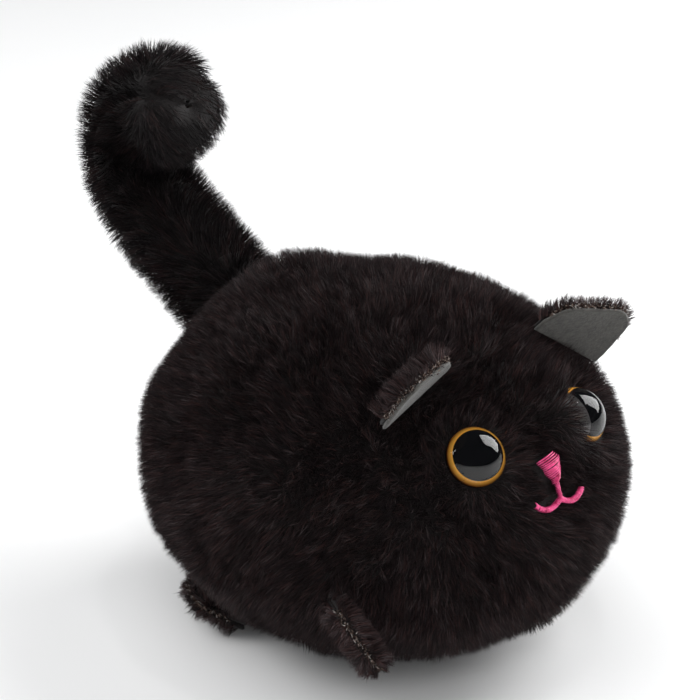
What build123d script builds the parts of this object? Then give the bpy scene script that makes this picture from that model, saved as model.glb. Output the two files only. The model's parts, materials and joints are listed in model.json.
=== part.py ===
from build123d import *
import os
from math import cos, radians, sin

os.makedirs("parts", exist_ok=True)

# A round plush cat. Millimetres, +Z up. The cat faces -Y, so its right side is -X.
# The origin is on the surface it stands on, at the middle of its bounding box.

# Body: a squat ellipsoid of plush fabric round a fibre filling, flattened where it rests.
BODY_WIDTH = 119.0
BODY_LENGTH = 130.4
BODY_HEIGHT = 96.4
BASE_FLAT_DEPTH = 3.2
PLUSH_THICKNESS = 4.0
FACE_SEAM_Y = -36.5
BELLY_SEAM_Z = -33.0
CLEARANCE = 0.35

# Eyes: clear domes with an amber ring and a black pupil, held by a post and a lock washer.
EYE_DIAMETER = 14.4
EYE_DOME_HEIGHT = 5.0
EYE_SEAT_DEPTH = 3.0
EYE_BACKING_THICKNESS = 1.2
EYE_FILM_THICKNESS = 0.5
PUPIL_DIAMETER = 10.8
POST_DIAMETER = 5.0
POST_LENGTH = 11.0
POST_RIB_PITCH = 1.5
WASHER_DIAMETER = 16.0
WASHER_THICKNESS = 1.6
EYE_X = 18.4
EYE_Z = 24.0

# Nose and mouth: satin-stitch embroidery, raised a little from the pile and a touch off centre.
STITCH_CENTRE_X = -1.2
NOSE_WIDTH = 7.4
NOSE_HEIGHT = 4.7
NOSE_TOP_Z = 20.0
STITCH_LINE_WIDTH = 1.2
MOUTH_JUNCTION_Z = 11.0
MOUTH_HALF_WIDTH = 7.6
STITCH_RELIEF = 0.7

# Ears: a plush layer sewn to a felt layer. Each has its own place on the face seam.
EAR_WIDTH = 22.0
EAR_LENGTH = 13.2
EAR_PLUSH_THICKNESS = 3.8
EAR_FELT_THICKNESS = 1.4
RIGHT_EAR_BASE = (-23.7, -35.8, 35.4)
RIGHT_EAR_ALONG = (0.905, 0.0, 0.425)
RIGHT_EAR_OUT = (-0.327, -0.660, 0.688)
LEFT_EAR_BASE = (29.9, -33.6, 33.4)
LEFT_EAR_ALONG = (-0.800, 0.150, 0.580)
LEFT_EAR_OUT = (0.430, -0.540, 0.700)

# Feet: flat flaps of two plush layers.
FOOT_WIDTH = 16.5
FOOT_LENGTH = 11.5
FOOT_LAYER_THICKNESS = 3.3
RIGHT_FRONT_FOOT_BASE = (-44.3, -38.2, -15.5)
RIGHT_FRONT_FOOT_ALONG = (0.500, -0.100, -0.850)
RIGHT_FRONT_FOOT_OUT = (-0.250, -0.930, -0.250)
LEFT_FRONT_FOOT_BASE = (38.1, -16.0, -35.0)
LEFT_FRONT_FOOT_ALONG = (0.330, 0.940, 0.0)
LEFT_FRONT_FOOT_OUT = (0.920, -0.330, 0.200)
REAR_FOOT_AXIS = (-32.6, 22.8, -41.2)
REAR_FOOT_ALONG = (0.504, 0.864, 0.0)
REAR_FOOT_OUT = (-0.743, 0.434, 0.510)

# Tail: a stuffed tube that leaves the rump, leans back and curls forward over it.
TAIL_RADIUS = 13.0
TAIL_BALL_RADIUS = 13.5
TAIL_COVER_THICKNESS = 3.5
TAIL_BASE_Y = 56.4
TAIL_BASE_Z = 23.6
TAIL_RISE_ANGLE = 28.0
TAIL_ROOT_LENGTH = 18.5
TAIL_MIDDLE_LENGTH = 19.0
TAIL_CURL_LEAD = 3.0
TAIL_CURL_RADIUS = 15.3
TAIL_CURL_TURN = 135.0
TAIL_TIP_RUN = 3.6

# The body's centre, from the standing surface and from the middle of the bounding box.
TAIL_REAR_Y = (
    TAIL_BASE_Y
    + (TAIL_ROOT_LENGTH + TAIL_MIDDLE_LENGTH + TAIL_CURL_LEAD) * cos(radians(TAIL_RISE_ANGLE))
    - TAIL_CURL_RADIUS * sin(radians(TAIL_RISE_ANGLE))
    + TAIL_CURL_RADIUS
    + TAIL_RADIUS
)
BODY_CENTRE = Vector(0, (BODY_LENGTH / 2 - TAIL_REAR_Y) / 2, BODY_HEIGHT / 2 - BASE_FLAT_DEPTH)
HALF_SIZE = (BODY_WIDTH / 2, BODY_LENGTH / 2, BODY_HEIGHT / 2)
STITCH_PLANE = Plane.XZ.shift_origin((STITCH_CENTRE_X, 0, 0))


def save(part, name):
    """Moves a part from the body's centre to the shared origin and writes its STEP file."""
    solid = Pos(*BODY_CENTRE) * part
    solid.label = name
    export_step(solid, f"parts/{name}.step")


def ellipsoid(grow):
    """The body's ellipsoid, larger all round by grow."""
    return scale(Sphere(1), by=tuple(half + grow for half in HALF_SIZE))


def flat_bottomed(shape, height):
    """The part of shape above the standing surface plus height."""
    size = 2 * BODY_LENGTH
    top = -BODY_HEIGHT / 2 + BASE_FLAT_DEPTH + height
    return shape & (Pos(0, 0, top) * Box(size, size, size, align=(Align.CENTER, Align.CENTER, Align.MIN)))


def region(low, high):
    """A box between two corners, to cut the cover into its panels."""
    size = [b - a for a, b in zip(low, high)]
    return Pos(*low) * Box(*size, align=(Align.MIN, Align.MIN, Align.MIN))


def surface_y(x, z):
    """The front Y of the body's ellipsoid at a given X and Z."""
    left = 1 - (2 * x / BODY_WIDTH) ** 2 - (2 * z / BODY_HEIGHT) ** 2
    return -BODY_LENGTH / 2 * left**0.5


def surface_normal(point):
    """The outward direction of the body's ellipsoid at a point on it."""
    return Vector(*[p / h**2 for p, h in zip(point, HALF_SIZE)]).normalized()


def on_surface(point):
    """The point of the body's ellipsoid on the ray from its centre through a point."""
    reach = Vector(*[p / h for p, h in zip(point, HALF_SIZE)]).length
    return Vector(*point) / reach


def eye_frame(side):
    """A plane on the body's surface at one eye, its Z pointing out of the face."""
    point = (side * EYE_X, surface_y(EYE_X, EYE_Z), EYE_Z)
    return Plane(origin=point, x_dir=(0, 0, 1), z_dir=surface_normal(point)).offset(-EYE_SEAT_DEPTH)


def square_to(direction, axis):
    """The unit vector nearest to a direction that is square to an axis."""
    return (direction - axis * direction.dot(axis)).normalized()


def flap_frame(axis_point, along, out):
    """A flap's own frame: X along its sewn edge, Y outward, Z through its thickness."""
    x_dir = Vector(*along).normalized()
    y_dir = square_to(Vector(*out), x_dir)
    return Plane(origin=axis_point, x_dir=x_dir, z_dir=x_dir.cross(y_dir))


def sewn_flap_frame(base, along, out, half_thickness):
    """The frame of a flap whose rolled edge lies along the body's surface, just clear of it."""
    point = on_surface(base)
    normal = surface_normal(point)
    axis_point = point + normal * (half_thickness + CLEARANCE)
    return flap_frame(axis_point, square_to(Vector(*along), normal), out)


def mirrored(vector):
    """The same vector on the other side of the cat."""
    x, y, z = vector
    return (-x, y, z)


# Fabric flaps

def ear_outline():
    """A rounded triangle whose point leans to the ear's outer side."""
    half = EAR_WIDTH / 2
    inner_shoulder = (half - 2.5, 6.5)
    tip_inner = (-half + 6.0, EAR_LENGTH)
    tip_outer = (-half + 2.0, EAR_LENGTH - 2.5)
    with BuildSketch() as sketch:
        with BuildLine():
            Polyline((-half, 0), (half, 0), inner_shoulder, tip_inner, tip_outer, close=True)
        make_face()
        fillet(sketch.vertices().filter_by(lambda v: v.Y > 1), 1.9)
    return sketch.sketch


def foot_outline():
    """A tongue with a round end."""
    half = FOOT_WIDTH / 2
    with BuildSketch() as sketch:
        with BuildLine():
            Polyline((-half, 0), (half, 0), (half, FOOT_LENGTH), (-half, FOOT_LENGTH), close=True)
        make_face()
        fillet(sketch.vertices().filter_by(lambda v: v.Y > 1), 6.0)
    return sketch.sketch


def flap_layers(outline, width, lower, upper):
    """A flap and the rolled edge it is sewn by, as a lower and an upper layer in its own frame."""
    thickness = lower + upper
    slab = Pos(0, 0, -thickness / 2) * extrude(outline, amount=thickness)
    root = Rot(0, 90, 0) * Cylinder(thickness / 2, width)
    whole = slab + root
    split = -thickness / 2 + lower
    big = 4 * width
    below = Pos(0, 0, split) * Box(big, big, big, align=(Align.CENTER, Align.CENTER, Align.MAX))
    return whole & below, whole - below


def make_ears():
    """Both ears, with the felt on the side that faces forward."""
    thickness = EAR_FELT_THICKNESS + EAR_PLUSH_THICKNESS
    placings = {
        "right": (RIGHT_EAR_BASE, RIGHT_EAR_ALONG, RIGHT_EAR_OUT),
        "left": (LEFT_EAR_BASE, LEFT_EAR_ALONG, LEFT_EAR_OUT),
    }
    for side, (base, along, out) in placings.items():
        frame = sewn_flap_frame(base, along, out, thickness / 2)
        if frame.z_dir.Y < 0:
            plush, felt = flap_layers(ear_outline(), EAR_WIDTH, EAR_PLUSH_THICKNESS, EAR_FELT_THICKNESS)
        else:
            felt, plush = flap_layers(ear_outline(), EAR_WIDTH, EAR_FELT_THICKNESS, EAR_PLUSH_THICKNESS)
        print(side, "ear hinge", frame.origin + BODY_CENTRE, frame.x_dir, "out", frame.y_dir)
        save(frame.location * plush, f"{side}_ear_plush")
        save(frame.location * felt, f"{side}_ear_felt")


def make_feet():
    """Two front feet, each sewn at its own place, and two rear feet just above the standing surface."""
    layer = FOOT_LAYER_THICKNESS
    rear = (REAR_FOOT_AXIS, REAR_FOOT_ALONG, REAR_FOOT_OUT)
    frames = {
        "front_right": sewn_flap_frame(
            RIGHT_FRONT_FOOT_BASE, RIGHT_FRONT_FOOT_ALONG, RIGHT_FRONT_FOOT_OUT, layer
        ),
        "front_left": sewn_flap_frame(
            LEFT_FRONT_FOOT_BASE, LEFT_FRONT_FOOT_ALONG, LEFT_FRONT_FOOT_OUT, layer
        ),
        "rear_right": flap_frame(*rear),
        "rear_left": flap_frame(*[mirrored(vector) for vector in rear]),
    }
    for name, frame in frames.items():
        lower, upper = flap_layers(foot_outline(), FOOT_WIDTH, layer, layer)
        sole, top = (upper, lower) if frame.z_dir.Z < 0 else (lower, upper)
        print(name, "foot hinge", frame.origin + BODY_CENTRE, frame.x_dir, "out", frame.y_dir)
        save(frame.location * top, f"{name}_foot_top")
        save(frame.location * sole, f"{name}_foot_sole")


# Eyes

def eye_pieces():
    """One eye in its own frame, where Z = 0 is the seat of its backing on the cover."""
    radius = EYE_DIAMETER / 2
    film = EYE_BACKING_THICKNESS
    glass = film + EYE_FILM_THICKNESS
    dome_height = EYE_DOME_HEIGHT
    sphere_radius = (radius**2 + dome_height**2) / (2 * dome_height)
    up = (Align.CENTER, Align.CENTER, Align.MIN)
    down = (Align.CENTER, Align.CENTER, Align.MAX)
    ball = Pos(0, 0, glass + dome_height - sphere_radius) * Sphere(sphere_radius)
    lens = ball & (Pos(0, 0, glass) * Cylinder(radius, dome_height, align=up))
    pupil = Pos(0, 0, film) * Cylinder(PUPIL_DIAMETER / 2, EYE_FILM_THICKNESS, align=up)
    iris = Pos(0, 0, film) * Cylinder(radius, EYE_FILM_THICKNESS, align=up) - pupil
    backing = Cylinder(radius, EYE_BACKING_THICKNESS, align=up)
    post = Cylinder(POST_DIAMETER / 2, POST_LENGTH, align=down)
    rib_count = int(POST_LENGTH / POST_RIB_PITCH) - 3
    for rib in range(rib_count):
        height = -POST_LENGTH + 1 + rib * POST_RIB_PITCH
        post -= Pos(0, 0, height) * Torus(POST_DIAMETER / 2, 0.25)
    washer_top = -(PLUSH_THICKNESS - EYE_SEAT_DEPTH)
    washer = Pos(0, 0, washer_top) * Cylinder(WASHER_DIAMETER / 2, WASHER_THICKNESS, align=down)
    washer -= Cylinder(POST_DIAMETER / 2, 2 * POST_LENGTH)
    return {"lens": lens, "iris": iris, "pupil": pupil, "post": backing + post, "washer": washer}


def eye_pocket():
    """The space an eye takes out of the cover and the filling."""
    up = (Align.CENTER, Align.CENTER, Align.MIN)
    down = (Align.CENTER, Align.CENTER, Align.MAX)
    seat = Cylinder(EYE_DIAMETER / 2, 3 * EYE_SEAT_DEPTH, align=up)
    hole = Cylinder(POST_DIAMETER / 2, POST_LENGTH, align=down)
    washer_top = -(PLUSH_THICKNESS - EYE_SEAT_DEPTH)
    washer = Pos(0, 0, washer_top) * Cylinder(WASHER_DIAMETER / 2, WASHER_THICKNESS, align=down)
    return seat + hole + washer


def make_eyes():
    for name, side in (("right", -1), ("left", 1)):
        frame = eye_frame(side)
        print(name, "eye seat", frame.origin + BODY_CENTRE, "facing", frame.z_dir)
        for piece, solid in eye_pieces().items():
            save(frame.location * solid, f"{name}_eye_{piece}")


# Embroidery

def nose_outline():
    """A trapezium, wide at the top, with round corners."""
    half = NOSE_WIDTH / 2
    bottom = NOSE_TOP_Z - NOSE_HEIGHT
    with BuildSketch(STITCH_PLANE) as sketch:
        with BuildLine():
            top_edge = [(-half, NOSE_TOP_Z - 1), (1 - half, NOSE_TOP_Z), (half - 1, NOSE_TOP_Z), (half, NOSE_TOP_Z - 1)]
            Polyline(*top_edge, (1.1, bottom), (-1.1, bottom), close=True)
        make_face()
        fillet(sketch.vertices(), 0.5)
    return sketch.sketch


def mouth_outline():
    """A short line down from the nose, and a hook to each side of it."""
    line_top = NOSE_TOP_Z - NOSE_HEIGHT - 0.1
    outer = MOUTH_HALF_WIDTH
    hook_bottom = MOUTH_JUNCTION_Z - 1.6
    hook_end = MOUTH_JUNCTION_Z
    with BuildSketch(STITCH_PLANE) as sketch:
        with BuildLine() as lines:
            Line((0, line_top), (0, MOUTH_JUNCTION_Z))
            for side in (-1, 1):
                middle = (side * outer * 0.55, hook_bottom)
                ThreePointArc((0, MOUTH_JUNCTION_Z), middle, (side * outer, hook_end))
        trace(lines.line, line_width=STITCH_LINE_WIDTH)
    return sketch.sketch


def stitched(outline):
    """A raised layer of stitches over the face, in the shape of an outline seen from the front."""
    layer = ellipsoid(STITCH_RELIEF) - ellipsoid(-STITCH_RELIEF)
    return extrude(outline, amount=BODY_LENGTH) & layer


# Tail

def tail_point(distance):
    """A point on the straight part of the tail, in the plane X = 0."""
    angle = radians(TAIL_RISE_ANGLE)
    return Vector(0, TAIL_BASE_Y + distance * cos(angle), TAIL_BASE_Z + distance * sin(angle))


def tail_tube(start, length, radius):
    """A straight stretch of the tail."""
    angle = radians(TAIL_RISE_ANGLE)
    plane = Plane(origin=tail_point(start), x_dir=(1, 0, 0), z_dir=(0, cos(angle), sin(angle)))
    return extrude(plane * Circle(radius), amount=length)


def tail_curl(start, radius):
    """The tail's end: a short lead, the forward curl, a straight tip and its round end."""
    angle = radians(TAIL_RISE_ANGLE)
    end_angle = radians(TAIL_RISE_ANGLE + TAIL_CURL_TURN)
    lead_end = tail_point(start + TAIL_CURL_LEAD)
    centre = lead_end + Vector(0, -sin(angle), cos(angle)) * TAIL_CURL_RADIUS
    curl_end = centre + Vector(0, sin(end_angle), -cos(end_angle)) * TAIL_CURL_RADIUS
    tip = curl_end + Vector(0, cos(end_angle), sin(end_angle)) * TAIL_TIP_RUN
    direction = Vector(0, cos(angle), sin(angle))
    lead = tail_tube(start, TAIL_CURL_LEAD, radius)
    section = Plane(origin=lead_end, x_dir=(1, 0, 0), z_dir=direction) * Circle(radius)
    curl = revolve(section, axis=Axis(centre, (1, 0, 0)), revolution_arc=TAIL_CURL_TURN)
    run_plane = Plane(origin=curl_end, x_dir=(1, 0, 0), z_dir=(tip - curl_end).normalized())
    run = extrude(run_plane * Circle(radius), amount=TAIL_TIP_RUN)
    return lead + curl + run + Pos(*tip) * Sphere(radius)


def tail_segments(inset):
    """The three stretches of the tail, each with a ball at its root, smaller all round by inset."""
    radius = TAIL_RADIUS - inset
    ball = TAIL_BALL_RADIUS - inset
    cup = TAIL_BALL_RADIUS + CLEARANCE + inset
    middle = TAIL_ROOT_LENGTH
    tip = TAIL_ROOT_LENGTH + TAIL_MIDDLE_LENGTH
    return {
        "root": Pos(*tail_point(0)) * Sphere(ball)
        + tail_tube(0, TAIL_ROOT_LENGTH, radius)
        - Pos(*tail_point(middle)) * Sphere(cup),
        "middle": Pos(*tail_point(middle)) * Sphere(ball)
        + tail_tube(middle, TAIL_MIDDLE_LENGTH, radius)
        - Pos(*tail_point(tip)) * Sphere(cup),
        "tip": Pos(*tail_point(tip)) * Sphere(ball) + tail_curl(tip, radius),
    }


def make_tail():
    fillings = tail_segments(TAIL_COVER_THICKNESS)
    for name, outer in tail_segments(0).items():
        save(fillings[name], f"tail_{name}_filling")
        save(outer - fillings[name], f"tail_{name}_cover")
    for distance in (0, TAIL_ROOT_LENGTH, TAIL_ROOT_LENGTH + TAIL_MIDDLE_LENGTH):
        print("tail hinge", tail_point(distance) + BODY_CENTRE)


# Body

def make_body():
    filling = flat_bottomed(ellipsoid(-PLUSH_THICKNESS), PLUSH_THICKNESS)
    cover = flat_bottomed(ellipsoid(0), 0) - filling
    socket = Pos(*tail_point(0)) * Sphere(TAIL_BALL_RADIUS + CLEARANCE)
    cover -= socket
    filling -= socket
    for side in (-1, 1):
        pocket = eye_frame(side).location * eye_pocket()
        cover -= pocket
        filling -= pocket
    nose = stitched(nose_outline())
    mouth = stitched(mouth_outline())
    cover -= nose
    cover -= mouth
    far = BODY_LENGTH
    panels = {
        "face_panel": region((-far, -far, -far), (far, FACE_SEAM_Y, far)),
        "belly_panel": region((-far, FACE_SEAM_Y, -far), (far, far, BELLY_SEAM_Z)),
        "right_side_panel": region((-far, FACE_SEAM_Y, BELLY_SEAM_Z), (0, far, far)),
        "left_side_panel": region((0, FACE_SEAM_Y, BELLY_SEAM_Z), (far, far, far)),
    }
    for name, box in panels.items():
        save(cover & box, name)
    save(filling, "body_filling")
    save(nose, "nose_embroidery")
    save(mouth, "mouth_embroidery")


make_body()
make_eyes()
make_ears()
make_feet()
make_tail()
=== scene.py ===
"""The looks of a round plush cat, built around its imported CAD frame.

Lengths are in millimetres in this script, and are turned into metres where a mesh is made.
Body coordinates have their origin at the middle of the body's ellipsoid.
"""
import json
import math

import bmesh
import bpy
import numpy as np
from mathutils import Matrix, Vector


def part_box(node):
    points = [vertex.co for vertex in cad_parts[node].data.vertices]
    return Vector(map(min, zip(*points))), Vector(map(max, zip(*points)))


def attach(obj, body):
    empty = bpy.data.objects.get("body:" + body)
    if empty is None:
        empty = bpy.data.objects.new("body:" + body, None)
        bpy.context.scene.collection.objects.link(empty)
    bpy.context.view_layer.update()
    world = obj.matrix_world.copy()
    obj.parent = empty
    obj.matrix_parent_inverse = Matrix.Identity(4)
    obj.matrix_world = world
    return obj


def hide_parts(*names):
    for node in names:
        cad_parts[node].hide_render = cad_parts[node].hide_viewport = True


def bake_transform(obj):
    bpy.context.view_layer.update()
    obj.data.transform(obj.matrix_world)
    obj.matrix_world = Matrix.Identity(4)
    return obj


MM = 0.001

# Camera: the view is fixed by its two angles, its distance and the point that it looks at.
CAMERA_AZIMUTH = -41.95
CAMERA_ELEVATION = 23.02
CAMERA_DISTANCE = 700.0
CAMERA_LENS = 141.6
AIM_LEFT = 8.3
AIM_UP = 26.5

# Body
BODY_HALF_HEIGHT = 48.2
PILE_HEIGHT = 3.7
PILE_LENGTH = 4.9
STRAND_WIDTH = 0.15
BODY_DENSITY = 6.6
CLOTH_THICKNESS = 0.8
FILLING_INSET = 7.5
BODY_SHADES = (0.30, 0.34, 0.22, 0.09, 0.05)

# Tail
TAIL_LEAD = 3.0
TAIL_CURL_RADIUS = 15.3
TAIL_CURL_TURN = 135.0
TAIL_TIP_RUN = 3.6
TAIL_SKIN_RADIUS = 10.6
TAIL_SWELL = 2.0
TAIL_PILE_LENGTH = 5.6
TAIL_DENSITY = 8.0
TAIL_STRAND_WIDTH = 0.16
TAIL_FILLING_RADIUS = 7.8
TAIL_START = -9.0
TAIL_SEAM_TURN = math.radians(118)
TAIL_SEAM_DEPTH = 2.6
TAIL_SEAM_STARTS = (24.0, 40.0)
TAIL_FOLD_DEPTH = 1.6
# A darker mix than the body's: painted shade on the tail, which holds it dark where its top faces the lamps.
TAIL_SHARES_WITH_PAINTED_SHADE = (0.40, 0.32, 0.17, 0.08, 0.03)

# Flaps: ears and feet
EAR_WIDTH = 22.0
EAR_LENGTH = 13.2
EAR_FELT_THICKNESS = 1.4
EAR_HALF_THICKNESS = 2.6
EAR_PILE_LENGTH = 5.4
EAR_OUT = {"right": (-0.3015, -0.6548, 0.6931), "left": (0.405, -0.543, 0.735)}
FOOT_WIDTH = 16.5
FOOT_LENGTH = 11.5
FOOT_CLOTH_INNER = 0.15
FOOT_CLOTH_OUTER = 1.3
FOOT_PILE_LENGTH = 4.0
FRONT_FOOT_ROOT = -4.5
FOOT_OUT = {
    "front_right": (-0.3434, -0.9327, -0.1098),
    "front_left": (0.9245, -0.3242, 0.2005),
    "rear_right": (-0.7431, 0.4335, 0.5099),
    "rear_left": (0.7431, 0.4335, 0.5099),
}
FLAP_ROOT = -3.0
EDGE_SPACING = 0.55
FLAP_DENSITY = 9.0
FLAP_SHADES = (0.12, 0.24, 0.28, 0.22, 0.14)

# Eyes and embroidery
EYE_RADIUS = 7.2
EYE_DOME_HEIGHT = 5.0
EYE_X = 18.4
EYE_Z = 24.0
EYE_RING_DEPTH = 1.3
EYE_SEATING = 0.25
EYE_SWELL = 1.3
STITCH_CENTRE_X = -1.2
NOSE_HALF_WIDTH = 3.7
NOSE_BOTTOM_HALF_WIDTH = 1.1
NOSE_TOP_Z = 20.0
NOSE_HEIGHT = 4.7
NOSE_STITCH_RISE = 0.616
MOUTH_JUNCTION_Z = 11.0
MOUTH_HALF_WIDTH = 7.6
STITCH_WIDTH = 1.25
THREAD_RADIUS = 0.19
THREAD_PITCH = 0.40
THREAD_END = 0.55
THREAD_REFERENCE = (0.0, -0.9, 0.43)

MAX_STRANDS = 39000
FLOOR_GAP = 0.12

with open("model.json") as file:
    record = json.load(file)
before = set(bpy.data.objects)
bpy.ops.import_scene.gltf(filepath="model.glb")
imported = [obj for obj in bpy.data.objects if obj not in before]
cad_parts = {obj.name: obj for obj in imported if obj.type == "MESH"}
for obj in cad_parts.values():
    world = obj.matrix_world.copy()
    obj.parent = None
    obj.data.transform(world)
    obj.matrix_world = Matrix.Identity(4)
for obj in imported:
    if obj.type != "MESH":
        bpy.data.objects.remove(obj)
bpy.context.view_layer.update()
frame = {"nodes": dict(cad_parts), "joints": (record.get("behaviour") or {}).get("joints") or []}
joints = {joint["name"]: joint for joint in frame["joints"]}


def node_box(node):
    """A CAD node's lowest and highest corner, in millimetres."""
    low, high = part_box(node)
    return np.array(low) / MM, np.array(high) / MM


FACE_LOW, FACE_HIGH = node_box("face_panel")
SIDE_HIGH = node_box("left_side_panel")[1]
BELLY_HIGH = node_box("belly_panel")[1]
CENTRE = np.array([0.0, (FACE_LOW[1] + SIDE_HIGH[1]) / 2, SIDE_HIGH[2] - BODY_HALF_HEIGHT])
BODY_HALF = np.array([SIDE_HIGH[0], (SIDE_HIGH[1] - FACE_LOW[1]) / 2, BODY_HALF_HEIGHT])
CLOTH_HALF = BODY_HALF - PILE_HEIGHT
FACE_SEAM = FACE_HIGH[1] - CENTRE[1]
BELLY_SEAM = BELLY_HIGH[2] - CENTRE[2]


# Small vector helpers, on arrays with one point or direction a row

def unit(vectors):
    vectors = np.asarray(vectors, float)
    return vectors / np.maximum(np.linalg.norm(vectors, axis=-1, keepdims=True), 1e-9)


def dot(a, b):
    return np.sum(np.asarray(a) * np.asarray(b), axis=-1, keepdims=True)


def across(vectors, normals):
    """The part of each vector that is square to its normal."""
    return vectors - normals * dot(vectors, normals)


def smooth_step(values, low, high):
    share = np.clip((values - low) / (high - low), 0, 1)
    return share * share * (3 - 2 * share)


def wave_noise(seed, wavelength, outputs=1, waves=14):
    """A smooth random field of points, about -1 to 1, as a function."""
    rng = np.random.default_rng(seed)
    directions = unit(rng.normal(size=(waves, 3))) * rng.uniform(0.7, 1.4, (waves, 1))
    waves_in = directions * 2 * math.pi / wavelength
    phases = rng.uniform(0, 2 * math.pi, waves)
    weights = rng.normal(size=(waves, outputs)) / math.sqrt(waves)

    def field(points):
        return np.sin(points @ waves_in.T + phases) @ weights * 1.2

    return field


# Mesh making

def new_object(name, mesh):
    ob = bpy.data.objects.new(name, mesh)
    bpy.context.scene.collection.objects.link(ob)
    return ob


def mesh_object(name, points, faces, material, smooth=True):
    """A mesh from points in millimetres and a list of faces."""
    mesh = bpy.data.meshes.new(name)
    mesh.from_pydata((np.asarray(points) * MM).tolist(), [], [list(face) for face in faces])
    mesh.materials.append(material)
    mesh.polygons.foreach_set("use_smooth", [smooth] * len(mesh.polygons))
    mesh.update()
    return new_object(name, mesh)


def grid_faces(rows, columns, closed):
    """Quads of a grid of points stored row by row. closed joins its last column to its first."""
    faces = []
    for row in range(rows - 1):
        for column in range(columns if closed else columns - 1):
            after = (column + 1) % columns
            start = row * columns
            faces.append((start + column, start + after, start + columns + after, start + columns + column))
    return faces


def merge_doubles(ob, distance=0.02):
    work = bmesh.new()
    work.from_mesh(ob.data)
    bmesh.ops.remove_doubles(work, verts=work.verts, dist=distance * MM)
    bmesh.ops.recalc_face_normals(work, faces=work.faces)
    work.to_mesh(ob.data)
    work.free()


def thicken(ob):
    """Gives a sheet of cloth its thickness, and keeps the result as the mesh."""
    modifier = ob.modifiers.new("thickness", "SOLIDIFY")
    modifier.thickness = CLOTH_THICKNESS * MM
    modifier.offset = -1.0
    bpy.context.view_layer.objects.active = ob
    ob.select_set(True)
    bpy.ops.object.modifier_apply(modifier=modifier.name)
    ob.select_set(False)


def grid_sheet(name, grid, material, closed=False):
    """A smooth sheet through a grid of points, rows by columns by 3."""
    rows, columns = grid.shape[:2]
    ob = mesh_object(name, grid.reshape(-1, 3), grid_faces(rows, columns, closed), material)
    merge_doubles(ob)
    return ob


# Materials

def new_material(name, colour, roughness, **values):
    """A Principled material whose constant values sit on the shader's own sockets."""
    material = bpy.data.materials.new(name)
    material.use_nodes = True
    shader = material.node_tree.nodes["Principled BSDF"]
    shader.inputs["Base Color"].default_value = (*colour, 1)
    shader.inputs["Roughness"].default_value = roughness
    for socket, value in values.items():
        shader.inputs[socket.replace("_", " ")].default_value = value
    return material


def node(material, kind, **settings):
    made = material.node_tree.nodes.new(kind)
    for key, value in settings.items():
        if key.startswith("in_"):
            made.inputs[key[3:].replace("_", " ")].default_value = value
        else:
            setattr(made, key, value)
    return made


def link(material, source, output, target, socket):
    material.node_tree.links.new(source.outputs[output], target.inputs[socket])


def shader_of(material):
    return material.node_tree.nodes["Principled BSDF"]


def object_noise(material, scale, detail, roughness):
    """A noise node in the object's own coordinates, at a scale in waves per metre."""
    place = node(material, "ShaderNodeTexCoord")
    noise = node(material, "ShaderNodeTexNoise", in_Scale=scale, in_Detail=detail, in_Roughness=roughness)
    link(material, place, "Object", noise, "Vector")
    return noise


def add_mottle(material, dark, light, scale, detail=4.0):
    """Colours a material by noise between two colours."""
    noise = object_noise(material, scale, detail, 0.6)
    ramp = node(material, "ShaderNodeValToRGB")
    ramp.color_ramp.elements[0].position = 0.32
    ramp.color_ramp.elements[0].color = (*dark, 1)
    ramp.color_ramp.elements[1].position = 0.68
    ramp.color_ramp.elements[1].color = (*light, 1)
    link(material, noise, "Fac", ramp, "Fac")
    link(material, ramp, "Color", shader_of(material), "Base Color")


def add_bump(material, scale, height, detail=5.0):
    """A noise bump, height in millimetres."""
    noise = object_noise(material, scale, detail, 0.65)
    bump = node(material, "ShaderNodeBump", in_Strength=0.8, in_Distance=height * MM)
    link(material, noise, "Fac", bump, "Height")
    link(material, bump, "Normal", shader_of(material), "Normal")


def pile_shades(prefix, colours):
    """The constant materials of a pile's strands, darkest first."""
    return [
        new_material(f"{prefix}_{name}", colour, 0.6, Specular_IOR_Level=0.25)
        for name, colour in colours.items()
    ]


PILE_SHADES = pile_shades("pile", {
    "black": (0.0135, 0.0095, 0.0100),
    "soot": (0.022, 0.0155, 0.0162),
    "umber": (0.038, 0.0250, 0.0255),
    "russet": (0.070, 0.036, 0.034),
    "ash": (0.095, 0.075, 0.077),
})
# A darker copy of the body's pile shades at about half their brightness, though the tail is the same plush:
# painted shade that holds the tail dark where its top faces the lamps.
TAIL_PILE_PAINTED_SHADE = pile_shades("tail", {
    "black": (0.0060, 0.0045, 0.0050),
    "soot": (0.0100, 0.0075, 0.0080),
    "umber": (0.019, 0.0125, 0.0130),
    "russet": (0.040, 0.021, 0.020),
    "ash": (0.060, 0.046, 0.048),
})
CUT_SHADES = pile_shades("cut", {
    "dark": (0.010, 0.007, 0.007),
    "brown": (0.055, 0.030, 0.024),
    "tan": (0.24, 0.18, 0.15),
    "pale": (0.55, 0.51, 0.48),
})


def cloth_material():
    material = new_material("backing_cloth", (0.01, 0.008, 0.008), 0.9, Sheen_Weight=0.1)
    add_mottle(material, (0.004, 0.003, 0.003), (0.012, 0.009, 0.009), 900)
    add_bump(material, 1400, 0.3)
    return material


def felt_material():
    material = new_material("ear_felt", (0.048, 0.045, 0.040), 0.92, Sheen_Weight=0.25, Sheen_Roughness=0.6)
    add_mottle(material, (0.034, 0.032, 0.029), (0.075, 0.071, 0.063), 700, detail=8.0)
    add_bump(material, 1500, 0.35, detail=8.0)
    return material


def thread_material():
    material = new_material("pink_thread", (0.80, 0.055, 0.22), 0.33, Coat_Weight=0.15)
    add_mottle(material, (0.45, 0.012, 0.09), (0.95, 0.11, 0.33), 700, detail=3.0)
    add_bump(material, 2600, 0.05)
    return material


CLOTH = cloth_material()
FELT = felt_material()
THREAD = thread_material()


# Pile: tapered ribbons that lean over

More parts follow.
